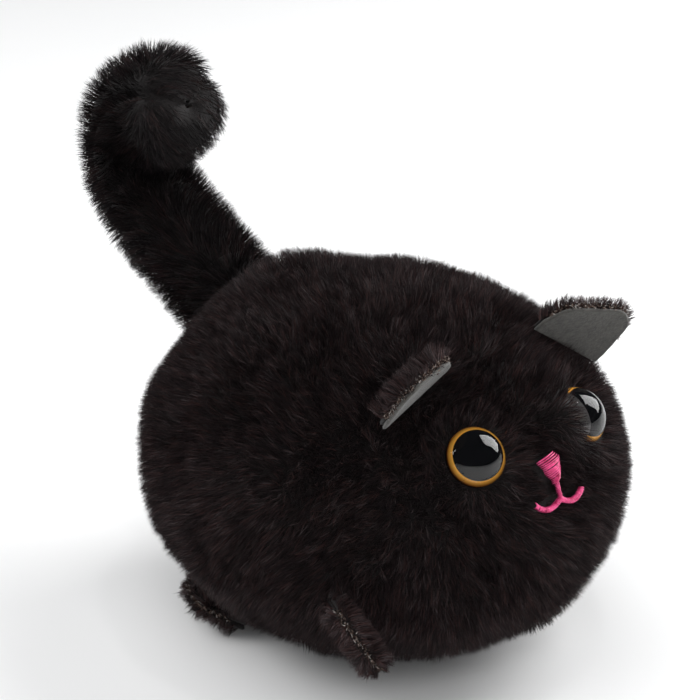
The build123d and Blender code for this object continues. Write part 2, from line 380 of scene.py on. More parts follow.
def strand_curve(roots, normals, comb, length, lean, tip_lean):
    """Four points along each strand: it leaves the cloth at lean and ends at tip_lean, in radians."""
    first = normals * np.cos(lean) + comb * np.sin(lean)
    second = normals * np.cos(tip_lean) + comb * np.sin(tip_lean)
    knee = roots + first * length * 0.5
    tip = knee + second * length * 0.5
    return np.stack([
        roots,
        roots * 4 / 9 + knee * 4 / 9 + tip / 9,
        roots / 9 + knee * 4 / 9 + tip * 4 / 9,
        tip,
    ], axis=1)


def gather(curves, cell, strength, rng):
    """Draws the tips of neighbouring strands together into tufts about cell wide."""
    roots = curves[:, 0]
    wobble = wave_noise(rng.integers(1 << 30), cell * 5, outputs=3)(roots) * cell * 0.8
    keys = np.floor((roots + wobble) / cell).astype(np.int64)
    flat = (keys[:, 0] * 73856093) ^ (keys[:, 1] * 19349663) ^ (keys[:, 2] * 83492791)
    _, tuft, count = np.unique(flat, return_inverse=True, return_counts=True)
    tips = curves[:, 3]
    middle = np.stack([np.bincount(tuft, tips[:, axis]) / count for axis in range(3)], axis=1)
    pull = (middle[tuft] - tips) * strength
    for step in (1, 2, 3):
        curves[:, step] += pull * (step / 3) ** 1.6
    return tuft


def grow(roots, normals, comb, stray, length, lean, bend, tuft_size, pull, width, rng):
    """Strands that lean over along a comb that strays at random: their curves, tufts and widths.

    lean is the lean at the cloth and bend is how much more the tip leans. Each is a middle value and a
    spread, in radians.
    """
    count = len(roots)
    first = (lean[0] + lean[1] * rng.normal(size=count))[:, None]
    last = first + (bend[0] + bend[1] * rng.normal(size=count))[:, None]
    if stray:
        comb = unit(comb + stray * across(rng.normal(size=(count, 3)), normals))
    curves = strand_curve(roots, normals, comb, length[:, None], first, last)
    tuft = gather(curves, tuft_size, pull, rng)
    return curves, tuft, width * (1 + 0.2 * rng.normal(size=count)).clip(0.5, 1.6)


def strand_shades(curves, tuft, weights, rng):
    """A shade for each strand, partly its own and partly its tuft's."""
    tuft_value = rng.uniform(size=tuft.max() + 1)
    value = 0.55 * rng.uniform(size=len(curves)) + 0.45 * tuft_value[tuft]
    order = np.argsort(np.argsort(value)) / len(value)
    limits = np.cumsum(weights) / np.sum(weights)
    return np.searchsorted(limits, order).clip(0, len(weights) - 1)


def ribbon_mesh(name, curves, widths, shades, materials, rng):
    """One mesh of tapered ribbons, seven points and three faces each, in its materials' shades."""
    count = len(curves)
    along = unit(curves[:, 3] - curves[:, 0])
    side = unit(across(rng.normal(size=(count, 3)), along))
    half = side * widths[:, None] / 2
    tapers = (1.0, 0.85, 0.55)
    points = np.empty((count, 7, 3))
    for step, taper in enumerate(tapers):
        points[:, 2 * step] = curves[:, step] - half * taper
        points[:, 2 * step + 1] = curves[:, step] + half * taper
    points[:, 6] = curves[:, 3]
    points[..., 2] = np.maximum(points[..., 2], FLOOR_GAP)
    pattern = np.array([0, 1, 3, 2, 2, 3, 5, 4, 4, 5, 6])
    loops = (pattern[None, :] + 7 * np.arange(count)[:, None]).ravel()
    starts = (np.array([0, 4, 8])[None, :] + 11 * np.arange(count)[:, None]).ravel()
    mesh = bpy.data.meshes.new(name)
    mesh.vertices.add(count * 7)
    mesh.vertices.foreach_set("co", (points * MM).astype(np.float32).ravel())
    mesh.loops.add(len(loops))
    mesh.loops.foreach_set("vertex_index", loops.astype(np.int32))
    mesh.polygons.add(len(starts))
    mesh.polygons.foreach_set("loop_start", starts.astype(np.int32))
    for material in materials:
        mesh.materials.append(material)
    mesh.polygons.foreach_set("material_index", np.repeat(shades, 3).astype(np.int32))
    mesh.update(calc_edges=True)
    return new_object(name, mesh)


def pile_pieces(name, curves, widths, shades, materials, rng, axis=1):
    """The pile of one panel, cut along an axis into pieces that stay light enough."""
    share = math.ceil(len(curves) / MAX_STRANDS)
    order = np.argsort(curves[:, 0, axis], kind="stable")
    made = []
    for number, part in enumerate(np.array_split(order, share), 1):
        piece = f"{name}_{number}" if share > 1 else name
        made.append(ribbon_mesh(piece, curves[part], widths[part], shades[part], materials, rng))
    return made


# Body

def ellipsoid_normal(points, half):
    return unit(points / half**2)


BODY_LUMPS = wave_noise(11, 30.0)
BODY_TUFTS = wave_noise(12, 9.0)
COMB_NOISE = wave_noise(13, 24.0, outputs=3)
COMB_DETAIL = wave_noise(14, 5.0, outputs=3)
RUMP_HUMP = (np.array([-1.0, 40.0, 37.0]), 4.0, 12.0)
BROW_HUMP = (np.array([8.5, -53.0, 25.5]), 4.6, 5.2)


def body_relief(points):
    """How far the cloth stands out from its ellipsoid at points in body coordinates."""
    hump = 0
    for middle, height, width in (RUMP_HUMP, BROW_HUMP):
        hump = hump + height * np.exp(-np.sum((points - middle) ** 2, axis=1) / (2 * width**2))
    for side in (-1, 1):
        from_eye = np.linalg.norm(points - face_point(side * EYE_X, EYE_Z), axis=1)
        hump += EYE_SWELL * (1 - smooth_step(from_eye, 9.5, 14.0))
    lumps = 0.5 * BODY_LUMPS(points)[:, 0]
    seam = np.exp(-((points[:, 1] - FACE_SEAM) / 2.2) ** 2)
    low_on_side = smooth_step(-points[:, 2], 2.0, 14.0) * smooth_step(np.abs(points[:, 0]), 20.0, 34.0)
    dent = seam * (0.25 + 1.9 * low_on_side)
    return hump + lumps - dent


def body_cloth_points(points):
    """Points of the plain ellipsoid moved out to the cloth, in body coordinates."""
    normals = ellipsoid_normal(points, CLOTH_HALF)
    return points + normals * body_relief(points)[:, None]


def face_point(x, z):
    """Points on the front of the body's pile surface, from x and z in body coordinates."""
    x = np.asarray(x, float)
    z = np.asarray(z, float)
    left = 1 - (x / BODY_HALF[0]) ** 2 - (z / BODY_HALF[2]) ** 2
    return np.stack([x, -BODY_HALF[1] * np.sqrt(left), z], axis=-1)


def eye_place(side):
    """The middle of an eye's front film and the way that it faces, in body coordinates."""
    x = EYE_X if side == "left" else -EYE_X
    on_face = face_point(x, EYE_Z)
    facing = ellipsoid_normal(on_face, BODY_HALF)
    return on_face - facing * EYE_RING_DEPTH, facing


EYES = {side: eye_place(side) for side in ("right", "left")}


def mouth_curve(share, side):
    """One half of the mouth, from the junction at share 0 to the corner at share 1."""
    x = MOUTH_HALF_WIDTH * share
    dip = -1.75 * np.sin(np.pi * 0.80 * share)
    rise = 1.3 * share**3.2
    return STITCH_CENTRE_X + side * x, MOUTH_JUNCTION_Z + dip + rise


def stitch_path_points():
    """Points on the nose and mouth, used to part the pile round them."""
    share = np.linspace(0, 1, 14)
    places = []
    for side in (-1, 1):
        x, z = mouth_curve(share, side)
        places.append(face_point(x, z))
    line_z = np.linspace(NOSE_TOP_Z - NOSE_HEIGHT, MOUTH_JUNCTION_Z, 6)
    places.append(face_point(np.full(6, STITCH_CENTRE_X), line_z))
    for z_share in np.linspace(0, 1, 5):
        half = NOSE_BOTTOM_HALF_WIDTH + (NOSE_HALF_WIDTH - NOSE_BOTTOM_HALF_WIDTH) * z_share
        x = STITCH_CENTRE_X + np.linspace(-half, half, 7)
        places.append(face_point(x, np.full(7, NOSE_TOP_Z - NOSE_HEIGHT * (1 - z_share))))
    return np.concatenate(places)


def nearest(points, targets):
    """For each point, the way from its nearest target and the distance to it."""
    away = np.zeros_like(points)
    distance = np.full(len(points), 1e9)
    for target in targets:
        offset = points - target
        reach = np.linalg.norm(offset, axis=1)
        closer = reach < distance
        distance[closer] = reach[closer]
        away[closer] = offset[closer]
    return away, distance


def sample_body(density, rng):
    """Points spread evenly over the cloth's ellipsoid, in body coordinates."""
    a, b, c = CLOTH_HALF
    power = 1.6075
    area = 4 * math.pi * (((a * b) ** power + (a * c) ** power + (b * c) ** power) / 3) ** (1 / power)
    wanted = int(area * density)
    directions = unit(rng.normal(size=(wanted * 2, 3)))
    keep = np.linalg.norm(directions / CLOTH_HALF, axis=1) * CLOTH_HALF.min() > rng.uniform(size=wanted * 2)
    return (directions[keep] * CLOTH_HALF)[:wanted]


def body_comb(points, normals):
    """The way that the body's pile lies: back and down, with cowlicks."""
    flow = np.array([0.0, 0.42, -0.9]) + np.stack([
        0.25 * np.sign(points[:, 0]) * smooth_step(np.abs(points[:, 0]), 2.0, 30.0),
        np.zeros(len(points)),
        np.zeros(len(points)),
    ], axis=1)
    flow = flow + 0.8 * COMB_NOISE(points) + 0.8 * COMB_DETAIL(points)
    return unit(across(flow, normals))


def part_round(normals, comb, length, away, distance, start, end, shortest):
    """Combs the pile away from something, and shortens it, between two distances from it."""
    share = smooth_step(distance, start, end)[:, None]
    outward = unit(across(away, normals))
    comb = unit(comb * share + outward * (1 - share) * 1.4)
    return comb, length * (shortest + (1 - shortest) * share[:, 0])


def grow_body(rng):
    """The body's strands: their curves in the assembly's frame, widths, tufts and plain roots."""
    points = sample_body(BODY_DENSITY, rng)
    on_belly = points[:, 2] < BELLY_SEAM
    points = points[~on_belly | (rng.uniform(size=len(points)) < 0.55)]
    away_stitch, stitch_distance = nearest(points * BODY_HALF / CLOTH_HALF, stitch_path_points())
    keep = stitch_distance > 0.7
    eye_gaps = []
    for middle, facing in EYES.values():
        offset = points - middle
        radial = across(offset, facing[None])
        gap = np.linalg.norm(radial, axis=1) - EYE_RADIUS
        gap[np.abs(dot(offset, facing)[:, 0]) > 12] = 1e3
        eye_gaps.append((radial, gap))
        keep &= gap > 0.1
    tail_axis = np.array(joints["tail_lift"]["pos_m"]) / MM - CENTRE
    keep &= np.linalg.norm(points - tail_axis, axis=1) > TAIL_SKIN_RADIUS - 1.0
    points = points[keep]
    count = len(points)
    normals = ellipsoid_normal(points, CLOTH_HALF)
    slope = np.stack([
        body_relief(points + offset) - body_relief(points - offset) for offset in np.eye(3) * 0.5
    ], axis=1)
    normals = unit(normals - across(slope, normals))
    comb = body_comb(points, normals)
    length = PILE_LENGTH * (1 + 0.10 * rng.normal(size=count)).clip(0.6, 1.3)
    length *= 1 + 0.10 * BODY_TUFTS(points)[:, 0]
    comb, length = part_round(
        normals, comb, length, away_stitch[keep], stitch_distance[keep], 0.7, 2.8, 0.5
    )
    for radial, gap in eye_gaps:
        comb, length = part_round(normals, comb, length, radial[keep], gap[keep], 0.0, 2.5, 0.92)
    roots = body_cloth_points(points) + CENTRE
    curves, tuft, widths = grow(
        roots, normals, comb, 0.55, length, (0.20, 0.20), (0.35, 0.20), 1.7, 0.38, STRAND_WIDTH, rng
    )
    return curves, widths, tuft, points


def body_regions(points):
    """Which points of the body are on each panel, by the panel's name."""
    face = points[:, 1] < FACE_SEAM
    belly = ~face & (points[:, 2] < BELLY_SEAM)
    left = ~face & ~belly & (points[:, 0] > 0)
    return {"face": face, "belly": belly, "left_side": left, "right_side": ~(face | belly | left)}


def make_body_pile():
    rng = np.random.default_rng(101)
    curves, widths, tuft, points = grow_body(rng)
    shades = strand_shades(curves, tuft, BODY_SHADES, rng)
    for region, inside in body_regions(points).items():
        parts = curves[inside], widths[inside], shades[inside]
        for piece in pile_pieces(f"{region}_pile", *parts, PILE_SHADES, rng):
            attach(piece, "body")


def face_cloth_grid():
    rings = np.linspace(0, math.acos(-FACE_SEAM / CLOTH_HALF[1]), 48)
    turns = np.linspace(0, 2 * math.pi, 160, endpoint=False)
    ring, turn = np.meshgrid(rings, turns, indexing="ij")
    return np.stack([np.sin(ring) * np.sin(turn), -np.cos(ring), np.sin(ring) * np.cos(turn)], axis=-1)


def seam_turn(k):
    """The turn from the top at which the belly seam lies, where the body's section has scale k."""
    return np.arccos(np.clip(BELLY_SEAM / np.maximum(CLOTH_HALF[2] * k, 1e-6), -1, 1))


def side_cloth_grid(side):
    start = math.asin(FACE_SEAM / CLOTH_HALF[1])
    lengthways = start + (math.pi / 2 - start) * np.linspace(0, 1, 110)
    k = np.cos(lengthways)
    share = np.linspace(0, 1, 90)
    turn = seam_turn(k)[:, None] * share[None, :]
    along = np.sin(lengthways)[:, None] + 0 * turn
    return np.stack([side * k[:, None] * np.sin(turn), along, k[:, None] * np.cos(turn)], axis=-1)


def belly_cloth_grid():
    start = math.asin(FACE_SEAM / CLOTH_HALF[1])
    end = math.acos(-BELLY_SEAM / CLOTH_HALF[2])
    lengthways = start + (end - start) * np.linspace(0, 1, 80)
    k = np.cos(lengthways)
    seam = seam_turn(k)[:, None]
    turn = seam + (2 * math.pi - 2 * seam) * np.linspace(0, 1, 70)[None, :]
    along = np.sin(lengthways)[:, None] + 0 * turn
    return np.stack([k[:, None] * np.sin(turn), along, k[:, None] * np.cos(turn)], axis=-1)


def make_body_cloth():
    """The four panels of backing cloth that the pile grows from."""
    grids = {
        "face": face_cloth_grid(),
        "left_side": side_cloth_grid(1),
        "right_side": side_cloth_grid(-1),
        "belly": belly_cloth_grid(),
    }
    for region, grid in grids.items():
        points = body_cloth_points(grid.reshape(-1, 3) * CLOTH_HALF) + CENTRE
        ob = grid_sheet(f"{region}_cloth", points.reshape(grid.shape), CLOTH, region == "face")
        thicken(ob)
        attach(ob, "body")
        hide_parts(f"{region}_panel")


# Tail

def tail_frame():
    """The tail's base, its straight direction and the way that its curl turns, from the joints."""
    base, middle, last = [
        np.array(joints[name]["pos_m"]) / MM for name in ("tail_lift", "tail_sway", "tail_curl")
    ]
    ahead = unit(middle - base)
    inside = np.array([0.0, -ahead[2], ahead[1]])
    return base, ahead, inside, np.linalg.norm(middle - base), np.linalg.norm(last - base)


LEFTWARD = np.array([1.0, 0.0, 0.0])
TAIL_SWIRLS = wave_noise(21, 16.0, outputs=3)
TAIL_SWIRL_DETAIL = wave_noise(22, 6.0, outputs=3)
TAIL_BASE, TAIL_AHEAD, TAIL_INSIDE, TAIL_SWAY_AT, TAIL_CURL_AT = tail_frame()
CURL_START = TAIL_CURL_AT + TAIL_LEAD
CURL_END = CURL_START + TAIL_CURL_RADIUS * math.radians(TAIL_CURL_TURN)
TAIL_END = CURL_END + TAIL_TIP_RUN + TAIL_SKIN_RADIUS


def from_inside(turn):
    """How far a turn round the tail is from the inside of the curl, either way."""
    return np.abs(np.angle(np.exp(1j * turn)))


def tail_axis_at(distance):
    """Points, forward directions and inside directions of the tail's axis, for an array of distances."""
    turn = np.clip(distance - CURL_START, 0, CURL_END - CURL_START) / TAIL_CURL_RADIUS
    turn = turn[:, None]
    forward = TAIL_AHEAD * np.cos(turn) + TAIL_INSIDE * np.sin(turn)
    inside = TAIL_INSIDE * np.cos(turn) - TAIL_AHEAD * np.sin(turn)
    centre = TAIL_BASE + TAIL_AHEAD * CURL_START + TAIL_INSIDE * TAIL_CURL_RADIUS
    straight = (np.minimum(distance, CURL_START) - CURL_START)[:, None] * TAIL_AHEAD
    run = np.maximum(distance - CURL_END, 0)[:, None] * forward
    return centre - inside * TAIL_CURL_RADIUS + straight + run, forward, inside


def tail_radius(distance, turn):
    """The cloth's radius along the tail and round it; turn is 0 on the inside of the curl."""
    from_end = np.clip((TAIL_END - distance) / (TAIL_SKIN_RADIUS * 0.9), 0, 1)
    thicker = TAIL_SWELL * smooth_step(distance, CURL_START - 20.0, CURL_START + 12.0)
    radius = (TAIL_SKIN_RADIUS + thicker) * (1 - (1 - from_end) ** 3.2) ** (1 / 2.6)
    swell = 1 + 0.05 * np.sin(distance / 13.0 + 0.7) + 0.03 * np.sin(distance / 5.1 + 2 * turn)
    from_seam = from_inside(turn) - TAIL_SEAM_TURN
    seam = np.exp(-(from_seam / math.radians(12)) ** 2) * smooth_step(distance, *TAIL_SEAM_STARTS)
    fold_at = np.exp(-((distance - (CURL_START + 17.0)) / 6.0) ** 2)
    fold = np.exp(-((from_inside(turn) - math.radians(62)) / math.radians(16)) ** 2)
    return radius * swell - TAIL_SEAM_DEPTH * seam - TAIL_FOLD_DEPTH * fold * fold_at


def tail_surface(distance, turn):
    """Points and outward normals of the tail's cloth."""
    middle, forward, inside = tail_axis_at(distance)
    outward = inside * np.cos(turn)[:, None] + LEFTWARD * np.sin(turn)[:, None]
    radius = tail_radius(distance, turn)
    taper = (tail_radius(distance + 0.1, turn) - tail_radius(distance - 0.1, turn)) / 0.2
    around = (tail_radius(distance, turn + 0.02) - tail_radius(distance, turn - 0.02)) / 0.04
    sideways = np.cross(forward, outward)
    turning = LEFTWARD * np.cos(turn)[:, None] - inside * np.sin(turn)[:, None]
    slope = (around / np.maximum(radius, 1.0)).clip(-2, 2)[:, None] * np.sign(dot(sideways, turning))
    normals = unit(outward - forward * taper.clip(-6, 6)[:, None] - sideways * slope)
    return middle + outward * radius[:, None], normals


# Each stretch's name, the two bodies it bends between, where it starts and ends, and where it bends
ROOT_CUT = TAIL_SWAY_AT * 0.5
TIP_CUT = (TAIL_SWAY_AT + TAIL_CURL_AT) / 2
TAIL_CUTS = (
    ("tail_root", ("body", "tail_root"), TAIL_START, ROOT_CUT, 0.0),
    ("tail_middle", ("tail_root", "tail_middle"), ROOT_CUT, TIP_CUT, TAIL_SWAY_AT),
    ("tail_tip", ("tail_middle", "tail_tip"), TIP_CUT, TAIL_END, TAIL_CURL_AT),
)


def bend_at(piece):
    """Bakes a tail piece's transform into its mesh."""
    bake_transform(piece)


def grow_tail(rng):
    """The tail's strands: their curves, widths, shades and distances along the tail."""
    count = int((TAIL_END - TAIL_START) * 2 * math.pi * TAIL_SKIN_RADIUS * TAIL_DENSITY)
    distance = rng.uniform(TAIL_START + 5.0, TAIL_END - 0.05, count)
    turn = rng.uniform(-math.pi, math.pi, count)
    in_curl = (distance > CURL_START) * (distance < CURL_END)
    crowd = 1 - np.cos(turn) * TAIL_SKIN_RADIUS / TAIL_CURL_RADIUS * in_curl
    keep = rng.uniform(size=count) * 1.6 < crowd
    distance, turn = distance[keep], turn[keep]
    roots, normals = tail_surface(distance, turn)
    _, forward, inside = tail_axis_at(distance)
    count = len(roots)
    flow = forward * 0.55 + 0.8 * TAIL_SWIRLS(roots) + 0.4 * TAIL_SWIRL_DETAIL(roots)
    near_tip = smooth_step(distance, TAIL_END - 16.0, TAIL_END - 3.0)[:, None]
    tip_comb = unit(np.cross(forward[np.argmax(distance)], LEFTWARD))
    tip_comb = tip_comb * (-1.3 if tip_comb[2] > 0 else 1.3) + LEFTWARD * 0.7
    flow = flow * (1 - 0.85 * near_tip) + near_tip * tip_comb
    from_seam = from_inside(turn) - TAIL_SEAM_TURN
    near_seam = np.exp(-(from_seam / math.radians(20)) ** 2) * smooth_step(distance, *TAIL_SEAM_STARTS)
    turning = LEFTWARD * np.cos(turn)[:, None] - inside * np.sin(turn)[:, None]
    flow = flow + turning * (np.sign(turn) * np.sign(from_seam) * near_seam * 2.2)[:, None]
    comb = unit(across(flow, normals))
    size = TAIL_PILE_LENGTH * (1 + 0.12 * rng.normal(size=count)).clip(0.5, 1.35)
    size *= 1 - 0.45 * near_seam
    size *= smooth_step(distance, TAIL_START + 3.0, 3.0) * 0.5 + 0.5
    curves, tuft, widths = grow(
        roots, normals, comb, 0.45, size, (0.16 + 0.75 * near_tip[:, 0], 0.18), (0.32, 0.20),
        2.3, 0.45, TAIL_STRAND_WIDTH, rng
    )
    return curves, widths, strand_shades(curves, tuft, TAIL_SHARES_WITH_PAINTED_SHADE, rng), distance


def tail_cloth(name, start, end):
    """The cloth of one stretch of the tail. The last one closes over the tip."""
    count = max(int((end - start) * 1.6), 12)
    rows = np.linspace(start, end, count)
    if end == TAIL_END:
        rows = end - (end - start) * (1 - np.linspace(0, 1, count) ** 0.85)
        rows[-1] = end - 0.005
    columns = np.linspace(-math.pi, math.pi, 72, endpoint=False)
    distance, turn = [part.ravel() for part in np.meshgrid(rows, columns, indexing="ij")]
    points, _ = tail_surface(distance, turn)
    return grid_sheet(name, points.reshape(len(rows), len(columns), 3), CLOTH, True)


def make_tail():
    rng = np.random.default_rng(202)
    curves, widths, shades, distance = grow_tail(rng)
    for name, bodies, start, end, joint_at in TAIL_CUTS:
        inside_cut = (distance >= start) & (distance < end)
        parts = curves[inside_cut], widths[inside_cut], shades[inside_cut]
        for piece in pile_pieces(f"{name}_pile", *parts, TAIL_PILE_PAINTED_SHADE, rng, axis=2):
            bend_at(piece)
        cloth = tail_cloth(f"{name}_cloth", start, end)
        thicken(cloth)
        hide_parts(f"{name}_cover")
        bend_at(cloth)


# Flaps

def rounded(corners, sizes):
    """A line through corner points, each rounded by a curve of its own size; 0 keeps a corner."""
    corners = [np.array(corner, float) for corner in corners]
    points = []
    for index, (corner, size) in enumerate(zip(corners, sizes)):
        if size == 0:
            points.append(corner)
            continue
        start = corner + unit(corners[index - 1] - corner) * size
        end = corner + unit(corners[index + 1] - corner) * size
        for share in np.linspace(0, 1, 7):
            points.append(start * (1 - share) ** 2 + corner * 2 * share * (1 - share) + end * share**2)
    return np.array(points)


def resample(outline, spacing):
    """Points evenly spaced along an open line."""
    steps = np.linalg.norm(np.diff(outline, axis=0), axis=1)
    reach = np.concatenate([[0], np.cumsum(steps)])
    count = max(int(round(reach[-1] / spacing)), 8) + 1
    wanted = np.linspace(0, reach[-1], count)
    return np.stack([np.interp(wanted, reach, outline[:, axis]) for axis in range(2)], axis=1)


def ear_edge():
    """The free edge of an ear, from the inner end of its sewn edge, over the tip, to the outer end."""
    half = EAR_WIDTH / 2
    tip = [(-half + 6.0, EAR_LENGTH), (-half + 1.6, EAR_LENGTH - 2.6)]
    corners = [(half, 0), (half - 2.5, 6.2), *tip, (-half, 0)]
    return resample(rounded(corners, (0, 3.0, 2.2, 2.2, 0)), EDGE_SPACING)


def foot_edge(root):
    """The free edge of a foot, a tongue with a round end. Below 0, root starts it down in the body's pile."""
    half = FOOT_WIDTH / 2
    corners = [(half, root), (half, FOOT_LENGTH), (-half, FOOT_LENGTH), (-half, root)]
    return resample(rounded(corners, (0, 7.0, 7.0, 0)), EDGE_SPACING)


class Flap:
    """A flap's own frame: x along its sewn edge, y outward, z to the side that faces up or forward."""

    def __init__(self, joint, out, flip, upward):
        self.joint = joint
        self.origin = np.array(joint["pos_m"]) / MM
        self.x = unit(np.array(joint["axis"])) * (-1 if flip else 1)
        self.y = unit(across(np.array(out, float), self.x))
        self.z = np.cross(self.x, self.y)
        self.front = 1.0 if self.z @ upward > 0 else -1.0

    def place(self, points):
        """Points of the flap's own frame, with z counted towards its front, in the assembly's frame."""
        return self.origin + self.turn(points)

    def turn(self, vectors):
        """Directions of the flap's own frame, in the assembly's frame."""
        return vectors[:, :1] * self.x + vectors[:, 1:2] * self.y + vectors[:, 2:3] * self.z * self.front

    def attach(self, ob):
        """Bakes a piece's transform into its mesh."""
        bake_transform(ob)


def slab_points(edge, low, high, crown):
    """Rings of a slab that fills an outline, between two heights, with a rounded rim and a crown."""
    closed = np.concatenate([edge, np.array([[edge[-1, 0], FLAP_ROOT], [edge[0, 0], FLAP_ROOT]])])
    count = len(closed)
    heart = np.array([closed[:, 0].mean(), closed[:, 1].mean() * 0.85])
    shares = np.sin(np.linspace(0, math.pi / 2, 9))
    middle = (low + high) / 2
    layers = []
    for share in shares:
        ring = heart + (closed - heart) * share
        height = high + crown * (1 - share**2)
        layers.append(np.column_stack([ring, np.full(count, height)]))
    rim = heart + (closed - heart) * 1.035
    layers.append(np.column_stack([rim, np.full(count, middle)]))
    for share in shares[::-1]:
        ring = heart + (closed - heart) * share
        layers.append(np.column_stack([ring, np.full(count, low - crown * 0.3 * (1 - share**2))]))
    return np.array(layers)


def make_slab(name, flap, edge, low, high, crown, material):
    layers = slab_points(edge, low, high, crown)
    rings, count = layers.shape[:2]
    points = flap.place(layers.reshape(-1, 3))
    ob = mesh_object(name, points, grid_faces(rings, count, True), material)
    merge_doubles(ob)
    return ob


def inside_outline(points, outline):
    """Which points lie inside a closed outline, by counting crossings."""
    x, y = points[:, 0], points[:, 1]
    inside = np.zeros(len(points), bool)
    for (x0, y0), (x1, y1) in zip(outline, np.roll(outline, -1, axis=0)):
        crosses = (y0 > y) != (y1 > y)
        rise = y1 - y0 if y1 != y0 else 1e-9
        inside ^= crosses & (x < (x1 - x0) * (y - y0) / rise + x0)
    return inside


def edge_directions(edge):
    """Outward directions in the flap's plane at each point of its free edge."""
    ahead = unit(np.gradient(edge, axis=0))
    outward = np.stack([ahead[:, 1], -ahead[:, 0]], axis=1)
    return outward * np.sign(np.mean(dot(outward, edge - edge.mean(axis=0))))


def flap_pile(name, flap, edge, height, side, length, rng):
    """Pile on one face of a flap and over its rim. side is 1 for the front face and -1 for the back."""
    low, high = edge.min(axis=0), edge.max(axis=0)
    low = np.array([low[0], min(low[1], -2.0)])
    count = int((high[0] - low[0]) * (high[1] - low[1]) * FLAP_DENSITY)
    places = rng.uniform(low, high, (count, 2))
    closed = np.concatenate([edge, [[edge[-1, 0], low[1]], [edge[0, 0], low[1]]]])
    places = places[inside_outline(places, closed)]
    rim_count = int(len(edge) * EDGE_SPACING * FLAP_DENSITY * 2.4)
    chosen = rng.integers(0, len(edge), rim_count)
    rim = edge[chosen] + rng.normal(size=(rim_count, 2)) * 0.2
    rim_out = edge_directions(edge)[chosen]
    roots = np.concatenate([
        np.column_stack([places, np.full(len(places), height)]),
        np.column_stack([rim, height - side * rng.uniform(0, 0.9, rim_count)]),
    ])
    tilt = rng.uniform(0.15, 0.9, rim_count)
    normals = np.concatenate([
        np.tile([0.0, 0.0, side], (len(places), 1)),
        np.column_stack([rim_out * np.cos(tilt)[:, None], side * np.sin(tilt)]),
    ])
    count = len(roots)
    flow = np.array([0.0, 0.8, 0.0]) + 0.7 * wave_noise(rng.integers(1 << 30), 8.0, outputs=3)(roots)
    comb = unit(across(flow, normals))
    size = length * (1 + 0.13 * rng.normal(size=count)).clip(0.5, 1.4)
    size[len(places):] *= 0.62
    curves, tuft, widths = grow(
        flap.place(roots), flap.turn(normals), flap.turn(comb), 0.0, size, (0.30, 0.15), (0.40, 0.15),
        2.0, 0.40, STRAND_WIDTH, rng
    )
    shades = strand_shades(curves, tuft, FLAP_SHADES, rng)
    return ribbon_mesh(name, curves, widths, shades, PILE_SHADES, rng)


def cut_edge(name, flap, edge, height, spread, rng):
    """The cut edge where two layers are sewn: short fibre ends and stitches of mixed shades."""
    edge = edge[edge[:, 1] > 1.2]
    count = len(edge) * 16
    chosen = rng.uniform(0, len(edge) - 1, count)
    index = chosen.astype(int)
    share = (chosen - index)[:, None]
    place = edge[index] * (1 - share) + edge[index + 1] * share
    outward = edge_directions(edge)[index]
    height_at = height + rng.normal(size=count) * spread
    roots = np.column_stack([place + outward * rng.uniform(-0.1, 0.5, (count, 1)), height_at])
    normals = unit(np.column_stack([outward, rng.normal(size=count) * 0.5]))
    comb = unit(across(rng.normal(size=(count, 3)), normals))
    size = rng.uniform(0.45, 1.15, count)[:, None]
    lean = rng.uniform(0.2, 1.3, (count, 1))
    curves = strand_curve(flap.place(roots), flap.turn(normals), flap.turn(comb), size, lean, lean + 0.5)
    widths = rng.uniform(0.14, 0.30, count)
    shades = rng.choice(4, size=count, p=(0.40, 0.32, 0.19, 0.09))
    return ribbon_mesh(name, curves, widths, shades, CUT_SHADES, rng)


def make_ears():
    edge = ear_edge()
    for number, side in enumerate(("right", "left")):
        rng = np.random.default_rng(300 + number)
        flap = Flap(joints[f"{side}_ear_fold"], EAR_OUT[side], side == "left", np.array([0.0, -1.0, 0.0]))
        split = EAR_HALF_THICKNESS - EAR_FELT_THICKNESS
        face = EAR_HALF_THICKNESS - 0.25
        felt = make_slab(f"{side}_ear_felt_sheet", flap, edge, split + 0.1, face, -0.35, FELT)
        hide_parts(f"{side}_ear_felt")
        flap.attach(felt)
        inner = edge * 0.97
        cloth = make_slab(f"{side}_ear_cloth", flap, inner, split - 1.1, split, 0.0, CLOTH)
        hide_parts(f"{side}_ear_plush")
        flap.attach(cloth)
        pile = flap_pile(f"{side}_ear_pile", flap, inner, split - 1.1, -1.0, EAR_PILE_LENGTH, rng)
        flap.attach(pile)
        seam = cut_edge(f"{side}_ear_cut_edge", flap, edge, split - 0.3, 0.42, rng)
        flap.attach(seam)


def make_feet():
    for number, (place, out) in enumerate(FOOT_OUT.items()):
        edge = foot_edge(FRONT_FOOT_ROOT if place.startswith("front") else 0.0)
        rng = np.random.default_rng(400 + number)
        name = f"{place}_foot"
        flap = Flap(joints[f"{name}_fold"], out, place.endswith("left"), np.array([0.0, 0.0, 1.0]))
        for layer, side in (("top", 1.0), ("sole", -1.0)):
            low, high = sorted((FOOT_CLOTH_INNER * side, FOOT_CLOTH_OUTER * side))
            cloth = make_slab(f"{name}_{layer}_cloth", flap, edge, low, high, 0.0, CLOTH)
            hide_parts(f"{name}_{layer}")
            flap.attach(cloth)
            surface = FOOT_CLOTH_OUTER * side
            pile = flap_pile(f"{name}_{layer}_pile", flap, edge, surface, side, FOOT_PILE_LENGTH, rng)
            flap.attach(pile)
        seam = cut_edge(f"{name}_cut_edge", flap, edge, 0.0, 0.45, rng)
        flap.attach(seam)


# Embroidery

